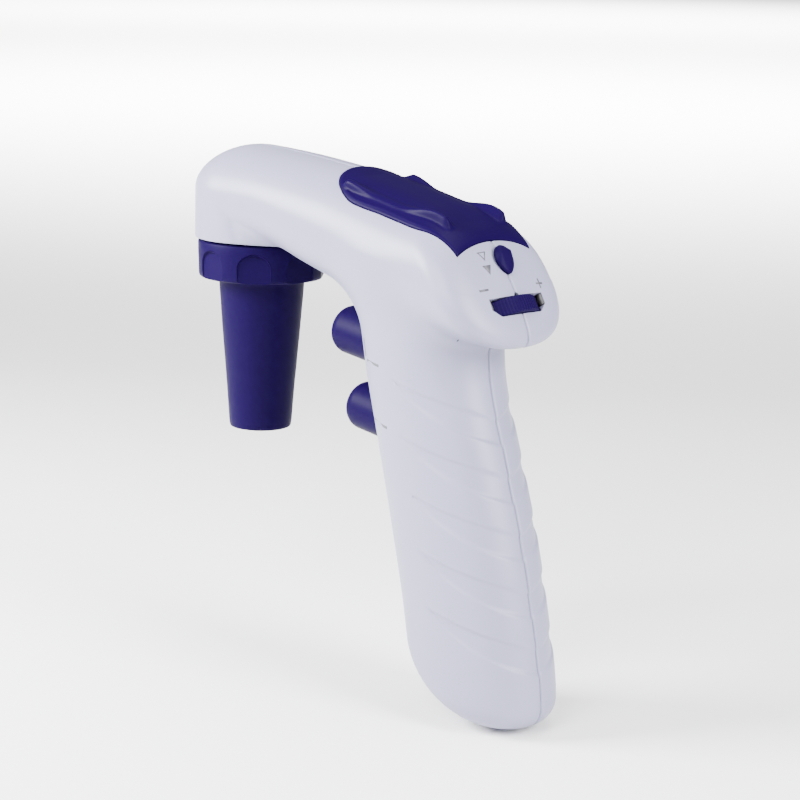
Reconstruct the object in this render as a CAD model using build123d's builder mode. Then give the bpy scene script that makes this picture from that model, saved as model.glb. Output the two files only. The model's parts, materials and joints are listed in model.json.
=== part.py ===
from build123d import *
from math import cos, radians, sin
import os

# Hand-held motorized pipette controller. Millimetres.
# Origin: centre of the nosepiece mouth. +Z runs up the nosepiece, +X from the nose
# to the speed dial, Y across. The two housing halves meet on the plane Y = 0.

os.makedirs("parts", exist_ok=True)

# ---------------------------------------------------------------- driving dimensions
WALL = 2.4              # housing wall
COVER_DEPTH = 1.2       # depth of the cover's recess
COVER_RISE = 1.0        # how far the cover stands above the barrel
CLEAR = 0.05            # radial clearance of every running fit

ELBOW_RADIUS = 20.15
ELBOW_BOTTOM = 57.5
ELBOW_MIDDLE = 71.1
ELBOW_RISE = 14.4

# barrel: position along X, height of its centre, half height, half width
BARREL = [
    (2, 71.3, 13.6, 19.7),
    (20, 70.9, 13.2, 19.8),
    (34, 67.9, 14.9, 20.0),
    (46, 65.1, 16.3, 20.2),
    (60, 61.6, 17.1, 20.4),
    (80, 57.3, 16.9, 21.0),
    (98, 54.3, 15.2, 22.5),
    (116, 51.0, 13.4, 22.9),
]
# handle: height, position of its centre along X, half depth, half width
HANDLE = [
    (57, 68.0, 19.0, 15.0),
    (42, 72.4, 24.0, 18.0),
    (28, 73.9, 21.0, 16.8),
    (8, 79.8, 21.5, 16.9),
    (-14, 86.3, 21.9, 17.3),
    (-36, 91.7, 21.9, 17.3),
    (-52, 94.9, 22.0, 17.3),
    (-67, 97.7, 21.4, 16.6),
]
HANDLE_BOTTOM = -67.0
REAR_TILT = 31.5        # the rear face leans back this far from upright
REAR_POINT = (102.0, 0, 55.3)
REAR_CROWN = 90.0       # radius of the slightly domed rear face
REAR_ROUND = 5.5
BOTTOM_ROUND = 8.0

COLLAR_TOP = 57.2
COLLAR_BOTTOM = 45.8
COLLAR_TOP_RADIUS = 19.3
COLLAR_BOTTOM_RADIUS = 19.0
CONE_TOP_RADIUS = 12.9
CONE_END_RADIUS = 9.4
GRIPS = 8               # arched grip recesses round the collar
GRIP_TURN = -3.7        # angle of the first one
GRIP_CENTRE = 23.4      # distance of the recess cylinder from the axis
GRIP_RADIUS = 6.4
GRIP_RISE = 8.4         # height of the recesses
MOUTH_RADIUS = 6.5
GRIP_BORE = 3.6         # silicone bore that holds a serological pipette
SOCKET_RADIUS = 12.9
FLANGE_RADIUS = 16.5

BUTTON_TILT = 7.0
BUTTON_RADIUS = 7.1
PLUNGER_RADIUS = 3.0
# one row for each button: tip along the button axis, height across it, cap length
BUTTONS = {
    "aspirate": (31.3, 39.8, 23.7),
    "dispense": (40.6, 19.5, 18.6),
}
BLOCK_FRONT = 64.5
BLOCK_BACK = 74.0
PLUNGER_END = 75.0
SPRING_WIRE = 0.35
SPRING_RADIUS = 4.4

DIAL_RADIUS = 12.0
DIAL_THICKNESS = 4.0
DIAL_PROUD = 1.8
DIAL_FACE = (104.5, 0, 51.0)
DIAL_TEETH = 48
SLOT_HALF = 10.2
SLOT_HEIGHT = 4.8
KNOB_UP = 12.9          # centre of the mode knob above the dial, along the face
KNOB_LENGTH = 9.2
KNOB_WIDTH = 5.6
KNOB_TRAVEL = 3.0
KNOB_RISE = 3.0

PUMP_TILT = 12.5
PUMP_START = (30, 0, 68.6)
MOTOR_RADIUS = 10.4
TUBE_RADIUS = 1.75
TUBE_BORE = 1.0

CELL_RADIUS = 9.0
CELL_LENGTH = 50.0
SCREW_POSTS = [(-11.0, 73.0), (56.8, 46.3), (82.8, 55.5), (68.9, -2.5), (81.6, -55.0)]
POST_RADIUS = 3.0
SCREW_RADIUS = 1.2
SCREW_HEAD = 2.3


# ---------------------------------------------------------------- shared work planes
REAR_NORMAL = Vector(cos(radians(REAR_TILT)), 0, sin(radians(REAR_TILT)))
REAR_UP = Vector(-sin(radians(REAR_TILT)), 0, cos(radians(REAR_TILT)))
rear_plane = Plane(origin=DIAL_FACE, x_dir=(0, 1, 0), z_dir=REAR_NORMAL)
dial_centre = Vector(*DIAL_FACE) - REAR_NORMAL * (DIAL_RADIUS - DIAL_PROUD)
dial_plane = Plane(origin=dial_centre, x_dir=REAR_NORMAL, z_dir=REAR_UP)
knob_point = Vector(*DIAL_FACE) + REAR_UP * KNOB_UP - REAR_NORMAL * 0.25
knob_plane = Plane(origin=knob_point, x_dir=(0, 1, 0), z_dir=REAR_NORMAL)

# across the button axes: local Z points into the handle, local X points up
BUTTON_IN = Vector(cos(radians(BUTTON_TILT)), 0, -sin(radians(BUTTON_TILT)))
BUTTON_UP = Vector(sin(radians(BUTTON_TILT)), 0, cos(radians(BUTTON_TILT)))
button_plane = Plane(origin=(0, 0, 0), x_dir=BUTTON_UP, z_dir=BUTTON_IN)

# along the pump: local Z runs from the pump head to the motor
PUMP_ALONG = Vector(cos(radians(PUMP_TILT)), 0, -sin(radians(PUMP_TILT)))
pump_plane = Plane(origin=PUMP_START, x_dir=(0, 1, 0), z_dir=PUMP_ALONG)

# along the handle: local Z runs up the grip, local X towards its back
GRIP_UP = Vector(-14.7, 0, 59.8).normalized()
grip_plane = Plane(origin=(94.4, 0, -49.8), x_dir=(GRIP_UP.Z, 0, -GRIP_UP.X), z_dir=GRIP_UP)


def barrel_form(inset):
    """The head from the elbow to the rear face, shrunk by inset."""
    with BuildPart() as form:
        for x, middle, rise, width in BARREL:
            with BuildSketch(Plane.YZ.offset(x)):
                with Locations((0, middle)):
                    Ellipse(width - inset, rise - inset)
        loft()
    return form.part


def head_form(inset):
    """The barrel, closed at the back by the domed and rounded rear face."""
    with BuildPart() as form:
        add(barrel_form(inset))
        with Locations(Vector(*REAR_POINT) - REAR_NORMAL * REAR_CROWN):
            Sphere(REAR_CROWN - inset, mode=Mode.INTERSECT)
        fillet(form.edges().sort_by(Axis.X)[-1], REAR_ROUND - inset * 0.8)
    return form.part


def handle_form(inset):
    """The pistol grip, shrunk by inset."""
    with BuildPart() as form:
        for z, middle, depth, width in HANDLE:
            level = z + inset if z == HANDLE_BOTTOM else z
            with BuildSketch(Plane.XY.offset(level)):
                with Locations((middle, 0)):
                    Ellipse(depth - inset, width - inset)
        loft()
        fillet(form.faces().sort_by(Axis.Z)[0].edges(), BOTTOM_ROUND - inset)
    return form.part


def elbow_form(inset):
    """The upright nose end with its domed top, shrunk by inset."""
    reach = ELBOW_RADIUS - inset
    foot = ELBOW_BOTTOM + inset
    with BuildPart() as form:
        with BuildSketch(Plane.XZ):
            with BuildLine():
                EllipticalCenterArc((0, ELBOW_MIDDLE), reach, ELBOW_RISE - inset, arc_size=90)
                Polyline((0, ELBOW_MIDDLE + ELBOW_RISE - inset), (0, foot), (reach, foot),
                         (reach, ELBOW_MIDDLE))
            make_face()
        revolve(axis=Axis.Z)
    return form.part


def form_slab(plane, start, thickness, hole):
    """A bulkhead that fills the hollow of the housing, with a round hole in it."""
    with BuildPart(plane.offset(start)) as slab:
        Cylinder(60, thickness, align=(Align.CENTER, Align.CENTER, Align.MIN))
        Cylinder(hole, thickness, align=(Align.CENTER, Align.CENTER, Align.MIN), mode=Mode.SUBTRACT)
    return slab.part


def button_rod(radius, tip, height, length):
    """A plain cylinder on a button's axis."""
    with BuildPart() as rod:
        with BuildSketch(button_plane.offset(tip)):
            with Locations((height, 0)):
                Circle(radius)
        extrude(amount=length)
    return rod.part


def tube_run(points):
    """A soft tube through the given points, with rounded bends."""
    with BuildPart() as tube:
        with BuildLine() as path:
            FilletPolyline(*points, radius=3.4)
        with BuildSketch(Plane(origin=path.line @ 0, z_dir=path.line % 0)):
            Circle(TUBE_RADIUS)
            Circle(TUBE_BORE, mode=Mode.SUBTRACT)
        sweep()
    return tube.part


def spring_coil(start, height, length, turns, radius, wire):
    """A round-wire compression spring on a button's axis, with closed ends."""
    origin = button_plane.origin + BUTTON_IN * (start + wire) + BUTTON_UP * height
    base = Plane(origin=origin, x_dir=BUTTON_UP, z_dir=BUTTON_IN)
    run = length - 2 * wire
    with BuildPart() as coil:
        with BuildLine() as path:
            Helix(pitch=run / turns, height=run, radius=radius)
        with BuildSketch(Plane(origin=path.line @ 0, z_dir=path.line % 0)):
            Circle(wire)
        sweep()
    return base.location * coil.part


def cover_prism(edge):
    """Plan outline of the top cover, grown by edge, as a tall prism."""
    half = 16.0 + edge
    with BuildPart() as prism:
        with BuildSketch(Plane.XY.offset(58)):
            with BuildLine():
                Spline((94.3 + edge, -14.0 - edge), (88, -half + 1.4), (72, -half), (56, -half + 0.1),
                       (48.4, -13.2 - edge), (44.0 - edge, -8.0), (42.4 - edge, 0), (44.0 - edge, 8.0),
                       (48.4, 13.2 + edge), (56, half - 0.1), (72, half), (88, half - 1.4),
                       (94.3 + edge, 14.0 + edge))
                ThreePointArc((94.3 + edge, 14.0 + edge), (93.2 + edge, 0), (94.3 + edge, -14.0 - edge))
            make_face()
        extrude(amount=50)
    return prism.part


# ---------------------------------------------------------------- housing halves
recess = cover_prism(0.25) & (barrel_form(-4) - barrel_form(COVER_DEPTH))
port_plane = Plane(origin=(100.5, 0, HANDLE_BOTTOM), x_dir=(0, 1, 0), z_dir=(0, 0, 1))
outer_forms = [head_form(0), handle_form(0), elbow_form(0)]
inner_forms = [head_form(WALL), handle_form(WALL), elbow_form(WALL)]


def bare_half():
    """The left half with its bulkheads and screw posts, before any opening."""
    space = Pos(50, -50, 0) * Box(300, 100, 300)
    solid = outer_forms[0] & space
    for form in outer_forms[1:]:
        solid = solid + (form & space)
    fittings = [
        form_slab(pump_plane, 36.0, 2.0, MOTOR_RADIUS + 1.0),
        form_slab(grip_plane, 30.0, 1.8, CELL_RADIUS + 2.2),
        form_slab(grip_plane, 2.0, 1.8, CELL_RADIUS + 2.2),
    ]
    for x, z in SCREW_POSTS:
        fittings.append(Pos(x, -20, z) * Rot(90, 0, 0) * Cylinder(POST_RADIUS, 40))
    with BuildPart() as half:
        add(solid)
        for form in inner_forms:
            add(form, mode=Mode.SUBTRACT)
        for fitting in fittings:
            add(fitting & solid)
        add(recess, mode=Mode.SUBTRACT)
    return half.part


def housing_half(bare):
    """A housing half with every opening cut."""
    with BuildPart() as half:
        add(bare)
        # the tubes and the control board pass the bulkheads
        with Locations((66, -9.4, 49.4), (66, -13.8, 62.3), (66, 12.0, 53.6)):
            Box(12, 7.0, 6.0, mode=Mode.SUBTRACT)
        with BuildSketch(grip_plane.offset(-2)):
            with Locations((13.6, 0)):
                Rectangle(3.4, 19)
        extrude(amount=56, mode=Mode.SUBTRACT)
        # screws go in from the right-hand side
        for x, z in SCREW_POSTS:
            with Locations(Location((x, 0, z), (-90, 0, 0))):
                Cylinder(SCREW_RADIUS, 14, mode=Mode.SUBTRACT)
            with Locations(Location((x, 7, z), (-90, 0, 0))):
                Cylinder(SCREW_HEAD + 0.3, 20, align=(Align.CENTER, Align.CENTER, Align.MIN),
                         mode=Mode.SUBTRACT)
        with Locations((0, 0, ELBOW_BOTTOM)):
            Cylinder(SOCKET_RADIUS + 0.1, 2 * WALL + 1, mode=Mode.SUBTRACT)
        for tip, height, length in BUTTONS.values():
            add(button_rod(BUTTON_RADIUS + CLEAR, tip, height, 34), mode=Mode.SUBTRACT)
        with BuildSketch(rear_plane.offset(-4)):
            Rectangle(2 * SLOT_HALF, SLOT_HEIGHT)
        extrude(amount=10, mode=Mode.SUBTRACT)
        with BuildSketch(dial_plane.offset(-DIAL_THICKNESS / 2 - 0.4)):
            Circle(DIAL_RADIUS + 0.4)
        extrude(amount=DIAL_THICKNESS + 0.8, mode=Mode.SUBTRACT)
        with BuildSketch(knob_plane.offset(-4)):
            Rectangle(2.2, 4.0 + KNOB_TRAVEL)
        extrude(amount=10, mode=Mode.SUBTRACT)
        with BuildSketch(port_plane.offset(-1)):
            Rectangle(9.4, 3.8)
        extrude(amount=6, mode=Mode.SUBTRACT)
    return half.part


left_bare = bare_half()
right_bare = mirror(left_bare, about=Plane.XZ)
for bare, name in ((left_bare, "housing_left"), (right_bare, "housing_right")):
    housing = housing_half(bare)
    housing.label = name
    export_step(housing, "parts/" + name + ".step")

with BuildPart() as housing_screws:
    for x, z in SCREW_POSTS:
        with Locations(Location((x, 7, z), (-90, 0, 0))):
            Cylinder(SCREW_HEAD, 1.6, align=(Align.CENTER, Align.CENTER, Align.MIN))
            Cylinder(SCREW_RADIUS, 13, align=(Align.CENTER, Align.CENTER, Align.MAX))
housing_screws.part.label = "housing_screws"
export_step(housing_screws.part, "parts/housing_screws.step")

# ---------------------------------------------------------------- top cover
def cover_rib(side):
    """A bowed anti-roll rib, tall at both ends."""
    with BuildPart() as rib:
        with BuildSketch(Plane.XZ.offset(-side * 12.0)):
            with BuildLine():
                Polyline((48.4, 77.6), (47.8, 70), (92.4, 62), (92.6, 69.2))
                Spline((48.4, 77.6), (50.6, 80.6), (55, 80.2), (70, 75.2), (84, 73.2), (89.4, 72.4),
                       (92.6, 69.2))
            make_face()
        extrude(amount=2.1, both=True)
    return rib.part & cover_prism(0)


with BuildPart() as top_cover:
    add(cover_prism(0) & (barrel_form(-COVER_RISE) - barrel_form(COVER_DEPTH)))
    for side in (-1, 1):
        add(cover_rib(side))
    add(barrel_form(COVER_DEPTH), mode=Mode.SUBTRACT)
top_cover.part.label = "top_cover"
export_step(top_cover.part, "parts/top_cover.step")

# ---------------------------------------------------------------- nosepiece
with BuildPart() as nosepiece:
    with BuildSketch(Plane.XZ):
        with BuildLine():
            Polyline((MOUTH_RADIUS, 0), (CONE_END_RADIUS - 2.2, 0))
            ThreePointArc((CONE_END_RADIUS - 2.2, 0), (CONE_END_RADIUS - 0.7, 0.7), (CONE_END_RADIUS, 2.4))
            Spline((CONE_END_RADIUS, 2.4), (11.6, 24.0), (CONE_TOP_RADIUS, COLLAR_BOTTOM))
            Polyline((CONE_TOP_RADIUS, COLLAR_BOTTOM), (COLLAR_BOTTOM_RADIUS - 1.2, COLLAR_BOTTOM),
                     (COLLAR_BOTTOM_RADIUS, COLLAR_BOTTOM + 1.2), (COLLAR_TOP_RADIUS, COLLAR_TOP - 0.5),
                     (COLLAR_TOP_RADIUS - 0.5, COLLAR_TOP), (SOCKET_RADIUS + CLEAR, COLLAR_TOP),
                     (SOCKET_RADIUS + CLEAR, 47.0), (10.8, 47.0), (10.8, 42.0), (7.6, 4.0),
                     (MOUTH_RADIUS, 4.0), (MOUTH_RADIUS, 0))
        make_face()
    revolve(axis=Axis.Z)
    # arched finger grips, open at the collar's bottom edge
    for grip in range(GRIPS):
        with BuildSketch(Plane.XY.rotated((0, 0, GRIP_TURN + grip * 360 / GRIPS)).offset(COLLAR_BOTTOM)):
            with Locations((GRIP_CENTRE, 0)):
                Circle(GRIP_RADIUS)
        extrude(amount=GRIP_RISE, taper=3, mode=Mode.SUBTRACT)
nosepiece.part.label = "nosepiece"
export_step(nosepiece.part, "parts/nosepiece.step")

with BuildPart() as pipette_adapter:
    with BuildSketch(Plane.XZ):
        with BuildLine():
            Polyline((GRIP_BORE, 0), (6.2, 0), (6.2, 4.3), (7.3, 4.3), (10.4, 41.5), (10.4, 47.3),
                     (12.5, 47.3), (12.5, 49.1), (3.0, 49.1), (3.0, 28.0), (GRIP_BORE, 28.0), (GRIP_BORE, 0))
        make_face()
    revolve(axis=Axis.Z)
pipette_adapter.part.label = "pipette_adapter"
export_step(pipette_adapter.part, "parts/pipette_adapter.step")

with BuildPart() as membrane_filter:
    with BuildSketch(Plane.XZ):
        with BuildLine():
            Polyline((1.2, 42.0), (2.95, 42.0), (2.95, 49.6), (8.8, 50.8), (8.8, 55.2), (2.4, 56.6),
                     (2.4, 61.0),
                     (1.2, 61.0), (1.2, 42.0))
        make_face()
    revolve(axis=Axis.Z)
membrane_filter.part.label = "membrane_filter"
export_step(membrane_filter.part, "parts/membrane_filter.step")

with BuildPart() as nose_socket:
    with BuildSketch(Plane.XZ):
        with BuildLine():
            Polyline((9.4, 49.4), (SOCKET_RADIUS, 49.4), (SOCKET_RADIUS, 59.9), (FLANGE_RADIUS, 59.9),
                     (FLANGE_RADIUS, 62.2), (6.5, 62.2), (6.5, 64.0), (1.6, 64.0), (1.6, 62.0), (3.0, 61.5),
                     (3.0, 57.6), (9.4, 57.6), (9.4, 49.4))
        make_face()
    revolve(axis=Axis.Z)
    with BuildSketch(Plane.XZ):
        with Locations((SOCKET_RADIUS, 54.5)):
            Circle(0.85)
    revolve(axis=Axis.Z, mode=Mode.SUBTRACT)
    with BuildSketch(Plane.XY.offset(64.0)):
        Circle(2.6)
        Circle(1.6, mode=Mode.SUBTRACT)
    extrude(amount=1.0)
nose_socket.part.label = "nose_socket"
export_step(nose_socket.part, "parts/nose_socket.step")

with BuildPart() as nose_o_ring:
    with Locations((0, 0, 54.5)):
        Torus(SOCKET_RADIUS - 0.8, 0.78)
    add(nose_socket.part, mode=Mode.SUBTRACT)
nose_o_ring.part.label = "nose_o_ring"
export_step(nose_o_ring.part, "parts/nose_o_ring.step")

# ---------------------------------------------------------------- buttons and valves
for name, (tip, height, length) in BUTTONS.items():
    with BuildPart() as cap:
        with BuildSketch(button_plane.offset(tip)):
            with Locations((height, 0)):
                Circle(BUTTON_RADIUS)
        extrude(amount=length)
        ends = cap.edges().filter_by(GeomType.CIRCLE).sort_by(Axis.X)
        fillet(ends[0], 3.6)
        with BuildSketch(button_plane.offset(tip + length)):
            with Locations((height, 0)):
                Circle(5.4)
        extrude(amount=-9.0, mode=Mode.SUBTRACT)
        with BuildSketch(button_plane.offset(tip + length - 14)):
            with Locations((height, 0)):
                Circle(2.0)
        extrude(amount=5.0, mode=Mode.SUBTRACT)
    cap.part.label = name + "_button"
    export_step(cap.part, "parts/" + name + "_button.step")

    seat = tip + length - 9.0
    grooves = (BLOCK_FRONT + 2.4, BLOCK_BACK - 2.4)
    with BuildPart() as plunger:
        add(button_rod(2.0, seat - 5.0, height, 5.0))
        add(button_rod(PLUNGER_RADIUS, seat, height, PLUNGER_END - seat))
        for at in grooves:
            groove = button_rod(PLUNGER_RADIUS + 1, at - 0.55, height, 1.1)
            add(groove - button_rod(2.1, at - 0.55, height, 1.1), mode=Mode.SUBTRACT)
    plunger.part.label = name + "_plunger"
    export_step(plunger.part, "parts/" + name + "_plunger.step")

    with BuildPart() as seals:
        for at in grooves:
            centre = BUTTON_IN * at + BUTTON_UP * height
            with Locations(Plane(origin=centre, x_dir=BUTTON_UP, z_dir=BUTTON_IN)):
                Torus(2.55, 0.45)
    seals.part.label = name + "_seals"
    export_step(seals.part, "parts/" + name + "_seals.step")

    turns = round((BLOCK_FRONT - seat) / 2.4)
    coil = spring_coil(seat + 0.05, height, BLOCK_FRONT - seat - 0.1, turns, SPRING_RADIUS, SPRING_WIRE)
    coil.label = name + "_spring"
    export_step(coil, "parts/" + name + "_spring.step")

heights = [height for tip, height, length in BUTTONS.values()]
block_middle = (max(heights) + min(heights)) / 2
with BuildPart() as valve_block:
    with BuildSketch(button_plane.offset(BLOCK_FRONT)):
        with Locations((block_middle, 0)):
            Rectangle(max(heights) - min(heights) + 13, 12)
    extrude(amount=BLOCK_BACK - BLOCK_FRONT)
    block_top = max(heights) + 6.5
    nipple_plane = Plane(origin=BUTTON_UP * block_top, x_dir=(0, 1, 0), z_dir=BUTTON_UP)
    # stub pipes on top, two at the front corners and one behind them
    with BuildSketch(nipple_plane):
        with Locations((-4.0, -66.6), (4.0, -66.6), (0.0, -71.8)):
            Circle(TUBE_BORE)
    extrude(amount=2.0)
    for height in heights:
        with BuildSketch(button_plane.offset(BLOCK_FRONT - 1)):
            with Locations((height, 0)):
                Circle(PLUNGER_RADIUS + CLEAR)
        extrude(amount=BLOCK_BACK - BLOCK_FRONT + 2, mode=Mode.SUBTRACT)
valve_block.part.label = "valve_block"
export_step(valve_block.part, "parts/valve_block.step")

with BuildPart() as switch_board:
    with BuildSketch(button_plane.offset(83.2)):
        with Locations((block_middle + 0.5, 0)):
            Rectangle(29, 9)
    extrude(amount=1.4)
switch_board.part.label = "switch_board"
export_step(switch_board.part, "parts/switch_board.step")

for name, (tip, height, length) in BUTTONS.items():
    with BuildPart() as microswitch:
        with BuildSketch(button_plane.offset(80.2)):
            with Locations((height, 0)):
                Rectangle(8, 6)
        extrude(amount=3.0)
        with BuildSketch(button_plane.offset(79.3)):
            with Locations((height, 0)):
                Circle(1.5)
        extrude(amount=0.9)
    microswitch.part.label = name + "_switch"
    export_step(microswitch.part, "parts/" + name + "_switch.step")

# ---------------------------------------------------------------- speed dial and mode knob
with BuildPart() as speed_dial:
    with BuildSketch(dial_plane.offset(-DIAL_THICKNESS / 2)):
        Circle(DIAL_RADIUS)
        Circle(2.0, mode=Mode.SUBTRACT)
        with PolarLocations(DIAL_RADIUS + 0.25, DIAL_TEETH):
            Circle(0.55, mode=Mode.SUBTRACT)
    extrude(amount=DIAL_THICKNESS)
speed_dial.part.label = "speed_dial"
export_step(speed_dial.part, "parts/speed_dial.step")

with BuildPart() as dial_shaft:
    with BuildSketch(dial_plane.offset(-3.0)):
        Circle(2.0)
    extrude(amount=8.2)
dial_shaft.part.label = "dial_shaft"
export_step(dial_shaft.part, "parts/dial_shaft.step")

with BuildPart() as dial_potentiometer:
    with BuildSketch(dial_plane.offset(2.4)):
        Circle(5.2)
    extrude(amount=3.8)
    with BuildSketch(dial_plane.offset(1.4)):
        Circle(2.0 + CLEAR)
    extrude(amount=4.2, mode=Mode.SUBTRACT)
dial_potentiometer.part.label = "dial_potentiometer"
export_step(dial_potentiometer.part, "parts/dial_potentiometer.step")

with BuildPart() as mode_knob:
    with BuildSketch(knob_plane.offset(0.4)):
        with BuildLine():
            Spline((0, -KNOB_LENGTH / 2), (KNOB_WIDTH / 2 - 0.5, -0.6), (KNOB_WIDTH / 2, 1.6),
                   (1.6, KNOB_LENGTH / 2 - 0.4), (0, KNOB_LENGTH / 2), (-1.6, KNOB_LENGTH / 2 - 0.4),
                   (-KNOB_WIDTH / 2, 1.6), (-KNOB_WIDTH / 2 + 0.5, -0.6), (0, -KNOB_LENGTH / 2))
        make_face()
    extrude(amount=KNOB_RISE, taper=14)
    with BuildSketch(knob_plane.offset(-4.2)):
        with Locations((0, KNOB_TRAVEL / 2)):
            Rectangle(2.0, 3.2)
    extrude(amount=4.8)
mode_knob.part.label = "mode_knob"
export_step(mode_knob.part, "parts/mode_knob.step")

with BuildPart() as mode_switch:
    with BuildSketch(knob_plane.offset(-8.0)):
        Rectangle(6.4, 9.0)
    extrude(amount=4.6)
    with BuildSketch(knob_plane.offset(-4.9)):
        Rectangle(2.2, 3.6 + KNOB_TRAVEL)
    extrude(amount=2.0, mode=Mode.SUBTRACT)
mode_switch.part.label = "mode_switch"
export_step(mode_switch.part, "parts/mode_switch.step")

with BuildPart() as selector_board:
    with BuildSketch(knob_plane.offset(-9.4)):
        with Locations((0, -0.4)):
            Rectangle(20, 10)
    extrude(amount=1.4)
selector_board.part.label = "selector_board"
export_step(selector_board.part, "parts/selector_board.step")

# ---------------------------------------------------------------- pump and motor
with BuildPart() as pump_head:
    with BuildSketch(pump_plane.offset(-4)):
        Rectangle(22, 16.6)
    extrude(amount=12)
    fillet(pump_head.edges().filter_by(Axis(origin=PUMP_START, direction=PUMP_ALONG)), 2.0)
    with BuildSketch(pump_plane.offset(-7)):
        with Locations((-5, 0), (5, 0)):
            Circle(TUBE_BORE)
    extrude(amount=3.0)
pump_head.part.label = "pump_head"
export_step(pump_head.part, "parts/pump_head.step")

with BuildPart() as pump_diaphragm:
    with BuildSketch(pump_plane.offset(8)):
        Rectangle(22, 16.6)
    extrude(amount=1.2)
pump_diaphragm.part.label = "pump_diaphragm"
export_step(pump_diaphragm.part, "parts/pump_diaphragm.step")

with BuildPart() as pump_crankcase:
    with BuildSketch(pump_plane.offset(9.2)):
        Rectangle(22, 16.6)
        Rectangle(18, 13.4, mode=Mode.SUBTRACT)
    extrude(amount=9.0)
    with BuildSketch(pump_plane.offset(18.2)):
        Rectangle(22, 16.6)
        Circle(1.6, mode=Mode.SUBTRACT)
    extrude(amount=1.8)
pump_crankcase.part.label = "pump_crankcase"
export_step(pump_crankcase.part, "parts/pump_crankcase.step")

with BuildPart() as pump_motor:
    with BuildSketch(pump_plane.offset(20)):
        Circle(MOTOR_RADIUS)
    extrude(amount=27)
    with BuildSketch(pump_plane.offset(20)):
        Circle(1.0 + CLEAR)
    extrude(amount=12, mode=Mode.SUBTRACT)
    with BuildSketch(pump_plane.offset(47)):
        Circle(3.2)
    extrude(amount=1.6)
pump_motor.part.label = "pump_motor"
export_step(pump_motor.part, "parts/pump_motor.step")

with BuildPart() as motor_mount:
    with BuildSketch(pump_plane.offset(36)):
        Circle(MOTOR_RADIUS + 1.0)
        Circle(MOTOR_RADIUS, mode=Mode.SUBTRACT)
    extrude(amount=2.0)
motor_mount.part.label = "motor_mount"
export_step(motor_mount.part, "parts/motor_mount.step")

with BuildPart() as motor_shaft:
    with BuildSketch(pump_plane.offset(11)):
        Circle(1.0)
    extrude(amount=20)
motor_shaft.part.label = "motor_shaft"
export_step(motor_shaft.part, "parts/motor_shaft.step")

with BuildPart() as pump_eccentric:
    with BuildSketch(pump_plane.offset(12)):
        with Locations((0, 1.0)):
            Circle(4.2)
        Circle(1.0, mode=Mode.SUBTRACT)
    extrude(amount=4.0)
pump_eccentric.part.label = "pump_eccentric"
export_step(pump_eccentric.part, "parts/pump_eccentric.step")

# ---------------------------------------------------------------- tubes
block_axis = BUTTON_UP * block_top
line_ends = {
    "pipette_line": block_axis + BUTTON_IN * 66.6 + Vector(0, -4, 0) + BUTTON_UP * 2.1,
    "pressure_line": block_axis + BUTTON_IN * 71.8 + BUTTON_UP * 2.1,
    "suction_line": block_axis + BUTTON_IN * 66.6 + Vector(0, 4, 0) + BUTTON_UP * 2.1,
}
pump_front = Vector(*PUMP_START) - PUMP_ALONG * 7.1
pump_left = pump_front + Vector(0, -5, 0)
pump_right = pump_front + Vector(0, 5, 0)
line_routes = {
    "pipette_line": [(0, 0, 65.1), (0, 0, 71.5), (8, -11.8, 68.4), (26, -12.9, 65.8), (46, -13.3, 60.6),
                     (62.2, -10.2, 50.7)],
    "pressure_line": [pump_left, pump_left - PUMP_ALONG * 4.6,
                      pump_left - PUMP_ALONG * 4.6 + Vector(0, -8.6, 0), (46, -13.6, 68.4),
                      (68, -13.4, 61.6), (77.2, -12.4, 56.0)],
    "suction_line": [pump_right, pump_right - PUMP_ALONG * 4.6,
                     pump_right - PUMP_ALONG * 4.6 + Vector(0, 8.6, 0), (46, 13.6, 63.0), (64, 12.8, 54.6)],
}
for name, end in line_ends.items():
    line = tube_run([*line_routes[name], end + BUTTON_UP * 6.2, end])
    line.label = name
    export_step(line, "parts/" + name + ".step")

# ---------------------------------------------------------------- power and control
with BuildPart() as battery_cell:
    with BuildSketch(grip_plane.offset(-3)):
        Circle(CELL_RADIUS)
    extrude(amount=CELL_LENGTH)
    fillet(battery_cell.edges().filter_by(GeomType.CIRCLE), 0.8)
    with BuildSketch(grip_plane.offset(CELL_LENGTH - 3)):
        Circle(3.0)
    extrude(amount=1.0)
battery_cell.part.label = "battery_cell"
export_step(battery_cell.part, "parts/battery_cell.step")

with BuildPart() as battery_holder:
    with BuildSketch(grip_plane.offset(-6.4)):
        Circle(CELL_RADIUS + 1.9)
    extrude(amount=CELL_LENGTH + 8.2)
    chamfer(battery_holder.edges().filter_by(GeomType.CIRCLE).sort_by(Axis.Z)[0], 2.0)
    with BuildSketch(grip_plane.offset(-4.8)):
        Circle(CELL_RADIUS + 0.3)
        with Locations((-CELL_RADIUS - 4, 0)):
            Rectangle(2 * CELL_RADIUS, 2 * CELL_RADIUS + 4)
    extrude(amount=CELL_LENGTH + 5.0, mode=Mode.SUBTRACT)
battery_holder.part.label = "battery_holder"
export_step(battery_holder.part, "parts/battery_holder.step")

with BuildPart() as battery_contacts:
    with BuildSketch(grip_plane.offset(-4.8)):
        Rectangle(9, 9)
    extrude(amount=0.5)
    with BuildSketch(grip_plane.offset(-4.3)):
        Circle(3.2)
    extrude(amount=1.25)
    with BuildSketch(grip_plane.offset(CELL_LENGTH - 0.3)):
        Rectangle(9, 9)
    extrude(amount=0.5)
    with BuildSketch(grip_plane.offset(CELL_LENGTH - 1.9)):
        Circle(2.2)
    extrude(amount=1.6)
battery_contacts.part.label = "battery_contacts"
export_step(battery_contacts.part, "parts/battery_contacts.step")

with BuildPart() as control_board:
    with BuildSketch(grip_plane.offset(0)):
        with Locations((13.2, 0)):
            Rectangle(1.6, 18)
    extrude(amount=50)
control_board.part.label = "control_board"
export_step(control_board.part, "parts/control_board.step")

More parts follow.
